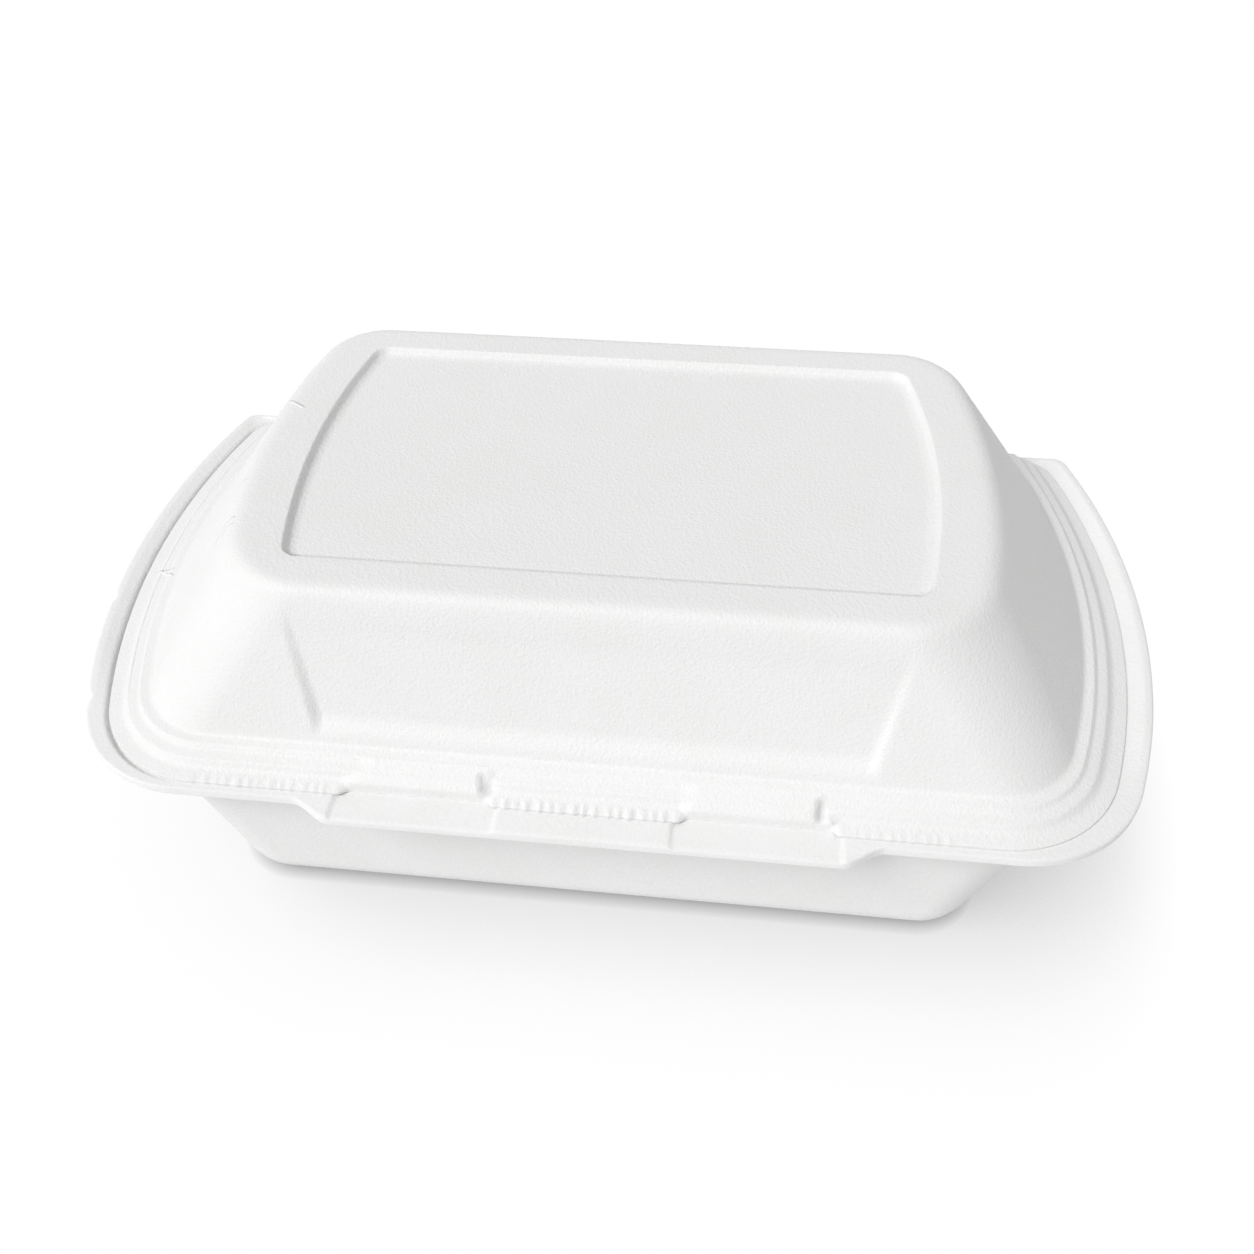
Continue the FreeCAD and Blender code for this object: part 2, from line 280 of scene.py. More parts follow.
def ring_points(rows):
    """Points of many outlines at once, shape rows by points by 3, from the front middle to the right.

    A corner is an arc of radius r about (c, front + r), with c chosen so that it touches the side
    arc: c = side centre + sqrt((R - r)^2 - (front + r - widest)^2). The side arc has radius R about
    (half - R, widest). The left-hand half is the mirror image.
    """
    half, front, back, bow, corner, rear, height = rows.T[:, :, None]
    side_x = half - bow
    low_y = front + corner
    high_y = back - rear
    low_x = side_x + np.sqrt((bow - corner) ** 2 - (low_y - widest_y) ** 2)
    high_x = side_x + np.sqrt((bow - rear) ** 2 - (high_y - widest_y) ** 2)
    low_angle = np.arctan2(low_y - widest_y, low_x - side_x)
    high_angle = np.arctan2(high_y - widest_y, high_x - side_x)

    def arc(centre_x, centre_y, radius, start, stop, count):
        turn = start + (stop - start) * np.linspace(0.0, 1.0, count, endpoint=False)
        return centre_x + radius * np.cos(turn), centre_y + radius * np.sin(turn)

    share = np.linspace(0.0, 1.0, front_points, endpoint=False)
    pieces = [(low_x * share, front + 0.0 * share),
              arc(low_x, low_y, corner, -math.pi / 2, low_angle, corner_points),
              arc(side_x, widest_y, bow, low_angle, high_angle, side_points),
              arc(high_x, high_y, rear, high_angle, math.pi / 2, rear_corner_points)]
    share = np.linspace(1.0, 0.0, rear_points)
    pieces.append((high_x * share, back + 0.0 * share))
    x = np.concatenate([piece[0] for piece in pieces], axis=1)
    y = np.concatenate([piece[1] for piece in pieces], axis=1)
    right = np.stack([x, y, height + 0.0 * x], axis=2)
    left = right[:, -2:0:-1] * np.array([-1.0, 1.0, 1.0])
    return np.concatenate([right, left], axis=1)


print("points round a ring:", 2 * (front_points + corner_points + side_points
                                    + rear_corner_points + rear_points) - 2)

# %% [markdown]
# A drawn sheet has no sharp corner: it bends over every edge of the mould with a radius. So the
# profile runs straight from station to station, and at each station a short curve takes the
# corner off. A bevel modifier could do this on a cage, but it would treat all the way round
# alike; here the rounding grows and shrinks with the slopes, as the foam does.

# %% Profile carried through the stations
def carry(stations, cuts, pitches, curve_steps=4):
    """Rows of outlines along the profile, and each row's place counted in stations.

    At a station p, with a and b at the cut's distance before and after it, the profile follows
    (1 - t)^2 a + 2 t (1 - t) p + t^2 b. Between curves it is straight, with rows a pitch apart. A
    cut takes no more than the longest share of a straight run.
    """
    rows, places = [stations[0]], [0.0]
    for i in range(1, len(stations)):
        here, last = stations[i], stations[i - 1]
        run = math.hypot(here[0] - last[0], here[6] - last[6])
        cut_in = min(cuts[i] / run, longest_cut)
        start_share = places[-1] - (i - 1)
        end_share = 1.0 - cut_in if cuts[i] > 0 else 1.0
        count = max(1, round(run * (end_share - start_share) / pitches[i]))
        share = start_share + (end_share - start_share) * np.arange(1, count + 1) / count
        rows += list(last + (here - last) * share[:, None])
        places += list(i - 1 + share)
        if cuts[i] > 0 and i + 1 < len(stations):
            after = stations[i + 1]
            next_run = math.hypot(after[0] - here[0], after[6] - here[6])
            cut_out = min(cuts[i] / next_run, longest_cut)
            t = np.arange(1, curve_steps + 1) / curve_steps
            a, b = last + (here - last) * end_share, here + (after - here) * cut_out
            curve = (((1 - t) ** 2)[:, None] * a + (2 * t * (1 - t))[:, None] * here
                     + (t ** 2)[:, None] * b)
            rows += list(curve)
            places += list(np.interp(t, [0.0, 0.5, 1.0], [i - cut_in, i, i + cut_out]))
    return np.array(rows), np.array(places)


def fill(ring, shares):
    """Rings of the flat middle: the last ring drawn in towards its centre by each share."""
    centre = np.array([0.0, ring[:, 1].mean(), ring[0, 2]])
    return centre + (ring - centre) * shares[:, None, None]


def ease(t):
    """Soft switch: 0 below 0, 1 above 1, and t^2 (3 - 2t) between."""
    t = np.clip(t, 0.0, 1.0)
    return t * t * (3.0 - 2.0 * t)


def surface_normals(points):
    """Outward unit normals of a band of rings: down the profile crossed with round the ring."""
    down = np.gradient(points, axis=0)
    round_ring = np.roll(points, -1, axis=1) - np.roll(points, 1, axis=1)
    normal = np.cross(down, round_ring)
    return normal / np.maximum(np.linalg.norm(normal, axis=2, keepdims=True), 1e-9)


def unevenness(points, size, seed):
    """Slow waves of a hand-trimmed foam sheet: a sum of sines over place, between about -1 and 1."""
    turns = np.random.default_rng(seed)
    total = np.zeros(points.shape[:2])
    for _ in range(5):
        direction = turns.normal(size=3)
        direction *= 2 * math.pi / (size * turns.uniform(0.7, 1.4) * np.linalg.norm(direction))
        total += np.sin(points @ direction + turns.uniform(0, 2 * math.pi))
    return total / 3.0


def shell(name, points, materials):
    """Closed mesh from rings of points, with a pole at the first and the last ring."""
    rows, count = points.shape[:2]
    index = np.arange(rows * count).reshape(rows, count)
    after = np.roll(index, -1, axis=1)
    quads = np.stack([index[:-1], index[1:], after[1:], after[:-1]], axis=2).reshape(-1, 4)
    first, last = rows * count, rows * count + 1
    caps = [np.stack([np.full(count, first), index[0], after[0]], axis=1),
            np.stack([index[-1], np.full(count, last), after[-1]], axis=1)]
    poles = [points[0].mean(axis=0), points[-1].mean(axis=0)]
    flat = np.concatenate([points.reshape(-1, 3), poles]) * MM
    mesh = bpy.data.meshes.new(name)
    mesh.from_pydata(flat.tolist(), [], quads.tolist() + np.concatenate(caps).tolist())
    mesh.polygons.foreach_set("use_smooth", np.ones(len(mesh.polygons), bool))
    for material in materials:
        mesh.materials.append(material)
    piece = bpy.data.objects.new(name, mesh)
    scene.collection.objects.link(piece)
    print(name, "rings", rows, "round", count, "triangles", 2 * len(quads) + 2 * count)
    return piece


# %% [markdown]
# The foam is expanded polystyrene sheet: near white, with a fine closed-cell skin that is neither
# matt nor shiny. Cells show as a very faint pebble. A flat white would look like plaster, so the
# colour drifts by a percent or two, the roughness varies, and a bump of fine cells and of finer
# grain lies over it. Where the sheet is cut, the cells are open: the same foam, brighter and
# rougher. Marks finer than the mesh are strokes in the lid's material: the scratches on its left,
# a thin line of painted shade along the front edge of the sunk panel, and the small pit at the
# right end of each lug, a dent darkened with painted shade. They are seen from above, so they are
# placed by X and Y.

# %% Foam
def stroke(tree, place, start, end, width):
    """Mask of a stroke, seen from above: 1 on the line between two points, 0 at its width."""
    start, end = [np.array([point[0], point[1], 0.0]) * MM for point in (start, end)]
    along = end - start
    flat = tree.nodes.new("ShaderNodeVectorMath")
    flat.operation = "MULTIPLY"
    flat.inputs[1].default_value = (1.0, 1.0, 0.0)
    link(tree, place, "Object", flat, 0)
    from_start = tree.nodes.new("ShaderNodeVectorMath")
    from_start.operation = "SUBTRACT"
    from_start.inputs[1].default_value = start.tolist()
    link(tree, flat, 0, from_start, 0)
    share = tree.nodes.new("ShaderNodeVectorMath")
    share.operation = "DOT_PRODUCT"
    share.inputs[1].default_value = (along / (along @ along)).tolist()
    link(tree, from_start, 0, share, 0)
    kept = tree.nodes.new("ShaderNodeMath")
    kept.operation = "ADD"
    kept.use_clamp = True
    kept.inputs[1].default_value = 0.0
    link(tree, share, "Value", kept, 0)
    nearest = tree.nodes.new("ShaderNodeVectorMath")
    nearest.operation = "SCALE"
    nearest.inputs[0].default_value = along.tolist()
    link(tree, kept, 0, nearest, "Scale")
    away = tree.nodes.new("ShaderNodeVectorMath")
    away.operation = "DISTANCE"
    link(tree, from_start, 0, away, 0)
    link(tree, nearest, 0, away, 1)
    mask = tree.nodes.new("ShaderNodeMapRange")
    mask.inputs["From Min"].default_value = width * MM
    mask.inputs["From Max"].default_value = 0.0
    link(tree, away, "Value", mask, "Value")
    return mask


def foam(name, tone, cell_size, bump_height, roughness, strokes=()):
    """Foam material: colour drift, cells and grain from noise on object coordinates, and strokes.

    A stroke is two points, its half width, how high it stands and how much darker it is; a
    darker stroke is painted shade.
    """
    material = bpy.data.materials.new(name)
    material.use_nodes = True
    tree = material.node_tree
    shader = tree.nodes["Principled BSDF"]
    shader.inputs["IOR"].default_value = 1.45
    shader.inputs["Specular IOR Level"].default_value = 0.4
    place = tree.nodes.new("ShaderNodeTexCoord")

    cells = tree.nodes.new("ShaderNodeTexVoronoi")
    cells.feature = "SMOOTH_F1"
    cells.inputs["Scale"].default_value = 1.0 / (cell_size * MM)
    cells.inputs["Smoothness"].default_value = 0.7
    link(tree, place, "Object", cells, "Vector")
    grain = tree.nodes.new("ShaderNodeTexNoise")
    grain.inputs["Scale"].default_value = 1.6 / (cell_size * MM)
    grain.inputs["Detail"].default_value = 3.0
    link(tree, place, "Object", grain, "Vector")
    drift = tree.nodes.new("ShaderNodeTexNoise")
    drift.inputs["Scale"].default_value = 1.0 / (14.0 * MM)
    drift.inputs["Detail"].default_value = 3.0
    link(tree, place, "Object", drift, "Vector")

    together = tree.nodes.new("ShaderNodeMath")
    together.operation = "ADD"
    link(tree, cells, "Distance", together, 0)
    link(tree, grain, 0, together, 1)
    # The strokes scale the base colour: the panel line and the lug pits darken it as painted shade,
    # and the scratches lighten it.
    darkened = tree.nodes.new("ShaderNodeValue")
    darkened.outputs[0].default_value = 1.0
    for start, end, width, height, dark in strokes:
        mask = stroke(tree, place, start, end, width)
        lifted = tree.nodes.new("ShaderNodeMath")
        lifted.operation = "MULTIPLY_ADD"
        lifted.inputs[1].default_value = height / bump_height
        link(tree, mask, 0, lifted, 0)
        link(tree, together, 0, lifted, 2)
        together = lifted
        dimmed = tree.nodes.new("ShaderNodeMath")
        dimmed.operation = "MULTIPLY_ADD"
        dimmed.inputs[1].default_value = -dark
        link(tree, mask, 0, dimmed, 0)
        link(tree, darkened, 0, dimmed, 2)
        darkened = dimmed
    bump = tree.nodes.new("ShaderNodeBump")
    bump.inputs["Strength"].default_value = 0.55
    bump.inputs["Distance"].default_value = bump_height * MM
    link(tree, together, 0, bump, "Height")
    link(tree, bump, 0, shader, "Normal")

    tint = tree.nodes.new("ShaderNodeValToRGB")
    low, high = tint.color_ramp.elements
    low.position, high.position = 0.35, 0.65
    low.color = (tone * 0.985, tone * 0.985, tone * 0.98, 1.0)
    high.color = (tone, tone, tone * 0.998, 1.0)
    link(tree, drift, 0, tint, 0)
    speck = tree.nodes.new("ShaderNodeMapRange")
    speck.inputs["From Min"].default_value = 0.3
    speck.inputs["From Max"].default_value = 0.7
    speck.inputs["To Min"].default_value = 0.985
    speck.inputs["To Max"].default_value = 1.0
    link(tree, grain, 0, speck, "Value")
    shade = tree.nodes.new("ShaderNodeMix")
    shade.data_type = "RGBA"
    shade.blend_type = "MULTIPLY"
    shade.inputs["Factor"].default_value = 1.0
    link(tree, tint, 0, shade, 6)
    link(tree, speck, 0, shade, 7)
    marked = tree.nodes.new("ShaderNodeVectorMath")
    marked.operation = "SCALE"
    link(tree, shade, 2, marked, 0)
    link(tree, darkened, 0, marked, "Scale")
    link(tree, marked, 0, shader, "Base Color")

    polish = tree.nodes.new("ShaderNodeMapRange")
    polish.inputs["To Min"].default_value = roughness - 0.08
    polish.inputs["To Max"].default_value = roughness + 0.08
    link(tree, drift, 0, polish, "Value")
    link(tree, polish, 0, shader, "Roughness")
    return material


scratches = [((-84.7, -17.6), (-79.1, -18.3)), ((-84.2, -15.6), (-79.4, -16.2)),
             ((-84.7, -3.7), (-81.1, -3.8)), ((-102.8, -20.2), (-97.9, -20.7)),
             ((-112.4, -1.5), (-108.4, -2.1)), ((-112.8, -0.9), (-107.6, -4.2)),
             ((-80.1, 25.0), (-75.9, 22.2))]
scratch_width, scratch_height, scratch_dark = 0.55, 0.6, -0.08
# Lug pits: a dent in the bump, with painted shade darkening their colour.
lug_pits = [((-21.2, -57.1), (-21.6, -55.0)), ((47.35, -56.7), (47.25, -54.6))]
pit_width, pit_height, pit_painted_shade = 1.35, -0.5, 0.24
# Painted shade: a thin dark line along the front edge of the sunk panel, drawn into the lid's colour
# with no height of its own.
painted_panel_shade_ends = ((-65.0, -25.7), (65.0, -25.7))
painted_panel_shade_width, painted_panel_shade_height, painted_panel_shade_dark = 0.4, 0.0, 0.22
lid_strokes = [(*ends, scratch_width, scratch_height, scratch_dark) for ends in scratches]
lid_strokes += [(*painted_panel_shade_ends, painted_panel_shade_width, painted_panel_shade_height, painted_panel_shade_dark)]
lid_strokes += [(*ends, pit_width, pit_height, pit_painted_shade) for ends in lug_pits]
foam_skin = foam("foam_skin", tone=0.90, cell_size=0.8, bump_height=0.12, roughness=0.52)
foam_lid = foam("foam_lid_skin", tone=0.90, cell_size=0.65, bump_height=0.17, roughness=0.52,
                strokes=lid_strokes)
foam_cut = foam("foam_cut_edge", tone=0.98, cell_size=0.7, bump_height=0.14, roughness=0.75)
print("materials:", [material.name for material in (foam_skin, foam_lid, foam_cut)])

# %% [markdown]
# The lid, seen from above and going outwards: a sunk panel with bowed ends, a flat border, a big
# soft shoulder, a sloping wall, then the stamped rim of an inner ledge, a small step, an outer
# ledge, a bright bead step and a low flange out to the crimp line. Under the rim the sheet is
# folded over the tray's bead, and inside the dome follows the outside at one wall's thickness.
# A step is how far the outline draws in at the sides, the front and the back, and how far it
# rises.

# %% Lid stations
lip_side_reach = 5.5
pressed_gap = 0.08
cut_edge = 0.4
fold_clearance = 0.3
edge_corner, edge_rear_corner = 27.0, 10.0
flange_step = (3.2, 3.2, 0.4, 0.6)
bead_step = (1.4, 1.0, 0.8, 1.4)
outer_ledge_step = (2.2, 2.2, 0.4, 0.5)
small_step = (0.9, 0.9, 0.6, 0.9)
inner_ledge_step = (2.3, 2.3, 1.6, 0.2)
dome_corner = 18.0
dome_half, dome_front_run, dome_rear_run = 81.0, 23.5, 6.7
dome_top_corner, dome_top_rear_corner = 20.0, 14.0
panel_half, panel_front_run, panel_rear_run, panel_corner = 68.5, 33.6, 16.5, 3.0
panel_drop, panel_edge = 1.5, 1.0
fold_back_low, fold_back_high = 5.8, 5.0
edge_z = rim_z + pressed_gap

lid_edge = outline(half_length - lip_side_reach, crimp_y, hinge_y - fold_clearance,
                   edge_corner, edge_rear_corner, edge_z)
cut_top = moved(lid_edge, 0.0, 0.0, 0.0, cut_edge + closing_gap - pressed_gap)
flange_in = moved(cut_top, *flange_step)
bead_top = moved(flange_in, *bead_step)
outer_ledge = moved(bead_top, *outer_ledge_step)
step_top = moved(outer_ledge, *small_step)
dome_base = moved(step_top, *inner_ledge_step)
dome_base[4:6] = dome_corner
dome_top = outline(dome_half, crimp_y + dome_front_run, hinge_y - dome_rear_run,
                   dome_top_corner, dome_top_rear_corner, top_z)
panel_foot = outline(panel_half, crimp_y + panel_front_run, hinge_y - panel_rear_run,
                     panel_corner, panel_corner, top_z - panel_drop)
panel_brim = moved(panel_foot, -panel_edge, -panel_edge, -panel_edge, panel_drop)
ledge_z = dome_base[6]
bead_z = bead_top[6]


def through_wall(lower, upper, thickness):
    """The outline's inward step to a sloping wall's other face, at side, front and back."""
    rise = abs(upper[6] - lower[6])
    runs = np.array([lower[0] - upper[0], upper[1] - lower[1], lower[2] - upper[2]])
    return thickness * np.hypot(runs, rise) / rise


inward = through_wall(dome_base, dome_top, wall)
ceiling_z = top_z - wall
inner_base = moved(dome_base, *inward, 0.0)
inner_top = moved(dome_top, *inward, 0.0)
inner_rim = between(inner_base, inner_top, bead_z - rim_sheet)
inner_ceiling = between(inner_base, inner_top, ceiling_z)
under_foot = moved(flange_in, rim_inset, rim_inset, fold_back_low, edge_z - flange_in[6])
under_roof = moved(bead_top, rim_inset, rim_inset, fold_back_high, -rim_sheet)
under_foot[5] = under_roof[5] = dome_corner
boss_foot = moved(panel_foot, -wall, -wall, -wall, 0.0)
boss_foot[6] = ceiling_z
boss_floor = boss_foot.copy()
boss_floor[6] = ceiling_z - panel_drop

lid_stations = [panel_foot, panel_brim, dome_top, dome_base, step_top, outer_ledge, bead_top,
                flange_in, cut_top, lid_edge, under_foot, under_roof, inner_rim, inner_ceiling,
                boss_foot, boss_floor]
lid_cuts = [0.0, 0.35, 2.9, 0.8, 0.3, 0.35, 0.35, 0.8, 0.15, 0.1, 0.2, 0.3, 0.8, 1.5, 0.5, 0.3]
lid_pitches = [1.0, 0.5, 2.0, 1.0, 0.6, 0.4, 0.5, 0.4, 0.4, 0.3, 0.6, 1.2, 1.5, 3.5, 4.0, 1.2]
STEP_TOP, OUTER_LEDGE, BEAD_TOP, FLANGE_IN, CUT_TOP, LID_EDGE = range(4, 10)
lid_rows, lid_place = carry(lid_stations, lid_cuts, lid_pitches)
print("lid profile rows:", len(lid_rows))

# %% [markdown]
# Five details break the even run of the lid, and each is a push of the surface, as the mould
# pushes the sheet: the field between two ribs that is set back towards its foot, the two locking
# lugs that stand proud of the rim's steps, the pinch marks that the crimping tool leaves on the
# flange, a fine groove along the bead step on the left, and a slow unevenness of the whole sheet.
# They could be added as separate pieces, but on one sheet they have no seam.

# %% Lid details
field_low, field_high = ledge_z + 3.6, ledge_z + 26.3
field_half_low, field_half_high = 57.4, 62.4
setback_low, setback_high = 1.7, 0.4
rib_width_low, rib_width_high = 2.2, 0.8
field_foot_below, field_foot_height = 2.2, 4.0
field_top_above, field_top_height = 3.0, 7.0
lug_start, lug_end = 18.8, 48.6
lug_left_slope, lug_foot_slope, lug_right_slope = 4.4, 2.6, 1.8
lug_foot_spread = 2.8
pit_push, pit_half_width, pit_inset = 0.49, 1.1, 1.1
pit_place, pit_rows_spread = -0.6, 0.7
catch_drop = 0.5
lug_gap = 0.04
lug_foot_z = rim_z - catch_drop + lug_gap
lug_profile = np.array([[STEP_TOP, 7.3, step_top[6]],
                        [OUTER_LEDGE, 6.2, step_top[6] - 0.45],
                        [BEAD_TOP, 3.9, step_top[6] - 1.35],
                        [FLANGE_IN - 0.25, 2.4, lug_foot_z + 2.3],
                        [FLANGE_IN, 2.05, lug_foot_z + 1.9],
                        [FLANGE_IN + 0.25, 1.9, lug_foot_z + 1.3],
                        [CUT_TOP, 1.75, lug_foot_z + 0.3],
                        [LID_EDGE, 1.6, lug_foot_z],
                        [LID_EDGE + 1, 3.8, edge_z]])
groove_from, groove_fade, groove_back, groove_depth = 60.0, 30.0, 14.0, 0.4
groove_place, groove_half = -0.12, 0.16
pinch_pitch, pinch_out, pinch_up = 2.35, 0.30, 0.32
pinch_low, pinch_high = -0.5, 0.9
pinch_wander = [(0.3, 0.9, 0.0), (0.2, 2.3, 1.0)]
pinch_zones = [(-18.8, 18.8, 1.5, 1.5, 1.0), (-86.0, -50.0, 6.0, 6.0, 0.6),
               (53.0, 78.0, 4.0, 5.0, 0.35)]
wave_size, wave_height = 55.0, 0.10
panel_wave_size, panel_wave_height, panel_wave_fade = 60.0, 0.08, 6.0
wave_seed = 3
fold_groove_radius = 1.75


def set_back_field(points):
    """Moves the front wall back inside two slanting ribs, further at the foot than at the top."""
    x, y, z = points[:, :, 0], points[:, :, 1], points[:, :, 2]
    share = np.clip((z - field_low) / (field_high - field_low), 0.0, 1.0)
    half = field_half_low + (field_half_high - field_half_low) * share
    width = rib_width_low + (rib_width_high - rib_width_low) * share
    depth = setback_low + (setback_high - setback_low) * share
    inside = ease((half + width / 2 - np.abs(x)) / width)
    in_height = ease((z - field_low + field_foot_below) / field_foot_height)
    in_height *= ease((field_high + field_top_above - z) / field_top_height)
    points[:, :, 1] += depth * inside * in_height * (y < 0)


def add_lugs(points, place):
    """Over each lug's width, moves the rim's rows onto the lug's own profile, by place.

    The profile's rows are a place, a distance behind the crimp line and a height. At its foot a
    lug is wider on its outer side, and at its right end the surface dips in a pit.
    """
    x, y = points[:, :, 0], points[:, :, 1]
    middle, reach = (lug_start + lug_end) / 2, (lug_end - lug_start) / 2
    from_middle = np.where(x > 0, x - middle, x + middle)
    at_foot = np.interp(place, [BEAD_TOP, FLANGE_IN], [0.0, 1.0])[:, None]
    left_slope = lug_left_slope + (lug_foot_slope - lug_left_slope) * at_foot
    slope = np.where(from_middle < 0, left_slope, lug_right_slope)
    spread = lug_foot_spread * at_foot * (from_middle * x > 0)
    across = ease((reach + spread - np.abs(from_middle)) / slope) * (y < 0)
    rows = (place >= STEP_TOP) & (place <= LID_EDGE + 1)
    across = across * rows[:, None]
    lug_y = crimp_y + np.interp(place, lug_profile[:, 0], lug_profile[:, 1])
    lug_z = np.interp(place, lug_profile[:, 0], lug_profile[:, 2])
    points[:, :, 1] += across * (lug_y[:, None] - y)
    points[:, :, 2] += across * (lug_z[:, None] - points[:, :, 2])
    pit = np.exp(-((from_middle - reach + pit_inset) / pit_half_width) ** 2) * (y < 0)
    pit_rows = np.exp(-((place - FLANGE_IN - pit_place) / pit_rows_spread) ** 2) * rows
    points[:, :, 1] += pit_push * pit * pit_rows[:, None]
    points[:, :, 2] -= pit_push * pit * pit_rows[:, None]


def crease_bead(points, place):
    """Fine groove along the top of the bead step, on the left from the front corner backwards."""
    on_left = ease((-points[:, :, 0] - groove_from) / groove_fade)
    on_left *= ease((points[:, :, 1] - crimp_y - groove_back) / groove_back)
    row = np.clip(1.0 - np.abs(place - BEAD_TOP - groove_place) / groove_half, 0.0, 1.0)
    points[:, :, 2] -= groove_depth * row[:, None] * on_left


def pinch_flange(points, place):
    """Row of small irregular ridges on the flange: clipped peaks of a wandering sine along X.

    A zone is where it starts and stops along X, how far it fades in and out, and how strong it is.
    A wander is a size, a rate along X and a start.
    """
    x, y = points[:, :, 0], points[:, :, 1]
    wander = sum(size * np.sin(rate * x + start) for size, rate, start in pinch_wander)
    ridge = np.clip(np.cos(2 * math.pi * (x + wander) / pinch_pitch), pinch_low, pinch_high)
    strength = sum(share * ease((x - start) / fade_in) * ease((stop - x) / fade_out)
                   for start, stop, fade_in, fade_out, share in pinch_zones)
    low = ease((place - FLANGE_IN - 0.3) / 0.3) * ease((LID_EDGE + 0.25 - place) / 0.2)
    reach = strength * (0.75 + 0.25 * np.sin(0.7 * x + 2.0))
    push = ridge * reach * low[:, None] * (y < 0)
    points[:, :, 1] -= pinch_out * push
    points[:, :, 2] += pinch_up * push * (place < CUT_TOP + 0.5)[:, None]


def round_fold_groove(points, radius):
    """Pushes what lies nearer to the fold's axis than a radius out to that radius."""
    dy, dz = points[:, :, 1] - hinge[1], points[:, :, 2] - hinge[2]
    near = np.hypot(dy, dz)
    scale = np.where(near < radius, radius / np.maximum(near, 1e-6), 1.0)
    points[:, :, 1] = hinge[1] + dy * scale
    points[:, :, 2] = hinge[2] + dz * scale


lid_points = ring_points(lid_rows)
set_back_field(lid_points)
pinch_flange(lid_points, lid_place)
add_lugs(lid_points, lid_place)
crease_bead(lid_points, lid_place)
broad = (lid_place < STEP_TOP)[:, None] * unevenness(lid_points, wave_size, wave_seed) * wave_height
lid_points += surface_normals(lid_points) * broad[:, :, None]
round_fold_groove(lid_points, fold_groove_radius)
lid_points[:, :, 1] = np.minimum(lid_points[:, :, 1], hinge_y - fold_clearance)
lid_points[:, :, 2] = np.minimum(lid_points[:, :, 2], top_z)
shares = np.linspace(0.06, 0.97, 10)
panel_rings = fill(lid_points[0], shares)
panel_waves = unevenness(panel_rings, panel_wave_size, wave_seed) * panel_wave_height
panel_rings[:, :, 2] += panel_waves * ease((1.0 - shares) * panel_wave_fade)[:, None]
inner_rings = fill(lid_points[-1], np.linspace(0.9, 0.1, 4))
lid_shell = shell("lid_shell", np.concatenate([panel_rings, lid_points, inner_rings]), [foam_lid])
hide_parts("lid")
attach(lid_shell, "lid")

# %% [markdown]
# The tray is the deeper half of the same sheet. From inside: a floor, steep walls, a bead that
# the lid's rim snaps over, a flat lip that rises along the sides and has a wide tab in front,
# the cut edge, and back under the lip down the outside to the flat bottom it stands on.

# %% Tray stations
lip_front_reach = 1.5
lip_rise = 1.3
lip_crest = 1.8
tray_corner = 22.0
mouth_corner = 20.5
bottom_corner = 13.0
bottom_round = 6.0
bottom_half, bottom_front_run, bottom_rear_run = 93.8, 5.8, 10.5
top_half, top_front_run, top_rear_run = 111.0, 4.6, 7.0
bead_foot_back, bead_roof_back = 6.1, 5.3
beside_gap, beside_rear_gap, beside_rear_corner = 0.3, 1.6, 10.0
lip_corner, lip_rear_corner, lip_crest_ends = 28.0, 3.0, 0.6
underside_inset = 12.0
under_z = rim_z - lip_thickness
bead_roof_z = bead_z - rim_sheet - closing_gap

tray_bottom = outline(bottom_half, crimp_y + bottom_front_run, hinge_y - bottom_rear_run,
                      bottom_corner, bottom_corner, 0.0)
tray_top = outline(top_half, crimp_y + top_front_run, hinge_y - top_rear_run,
                   tray_corner, tray_corner, rim_z)
inward = through_wall(tray_bottom, tray_top, wall)
in_bottom = moved(tray_bottom, *inward, 0.0)
in_top = moved(tray_top, *inward, 0.0)
in_top[4:6] = mouth_corner
in_floor = between(in_bottom, in_top, wall)
mouth = between(in_bottom, in_top, bead_roof_z)
bead_inset = rim_inset + closing_gap
bead_foot = moved(flange_in, bead_inset, bead_inset, bead_foot_back, rim_z - flange_in[6])
bead_roof = moved(bead_top, bead_inset, bead_inset, bead_roof_back, bead_roof_z - bead_z)
bead_foot[5] = bead_roof[5] = dome_corner
beside_lid = outline(lid_edge[0] + beside_gap, crimp_y - beside_gap, hinge_y - beside_rear_gap,
                     edge_corner + beside_gap, beside_rear_corner, rim_z)
lip_edge = outline(half_length, crimp_y - lip_front_reach, hinge_y, lip_corner, lip_rear_corner, rim_z)
lip_inner = moved(lip_edge, lip_crest, lip_crest_ends, lip_crest_ends, 0.0)
lip_under, lip_inner_under, beside_under = [station.copy()
                                            for station in (lip_edge, lip_inner, beside_lid)]
lip_under[6] = lip_inner_under[6] = beside_under[6] = under_z
wall_top = between(tray_bottom, tray_top, under_z)

tray_stations = [in_floor, mouth, bead_roof, bead_foot, beside_lid, lip_inner, lip_edge, lip_under,
                 lip_inner_under, beside_under, wall_top, tray_bottom,
                 moved(tray_bottom, underside_inset, underside_inset, underside_inset, 0.0)]
tray_cuts = [0.0, 0.7, 0.5, 0.2, 0.7, 0.8, 0.7, 0.3, 0.5, 0.5, 1.0, bottom_round, 0.0]
tray_pitches = [1.0, 2.2, 0.8, 0.5, 0.5, 0.5, 0.4, 0.6, 0.8, 0.8, 1.5, 1.8, 3.0]
BEAD_FOOT, BESIDE_LID, LIP_INNER, LIP_EDGE, LIP_UNDER, LIP_INNER_UNDER, BESIDE_UNDER = range(3, 10)
tray_rows, tray_place = carry(tray_stations, tray_cuts, tray_pitches)
print("tray profile rows:", len(tray_rows))

# %% [markdown]
# The lip's details are again pushes of the one surface: the climb of the side lip, the tab with
# its S-shaped shoulders, the two slightly lower zones of the tab where the lugs close, the narrow
# groove where the lid's edge is pressed on the lip, and the small nicks that use has left in the
# left edge.

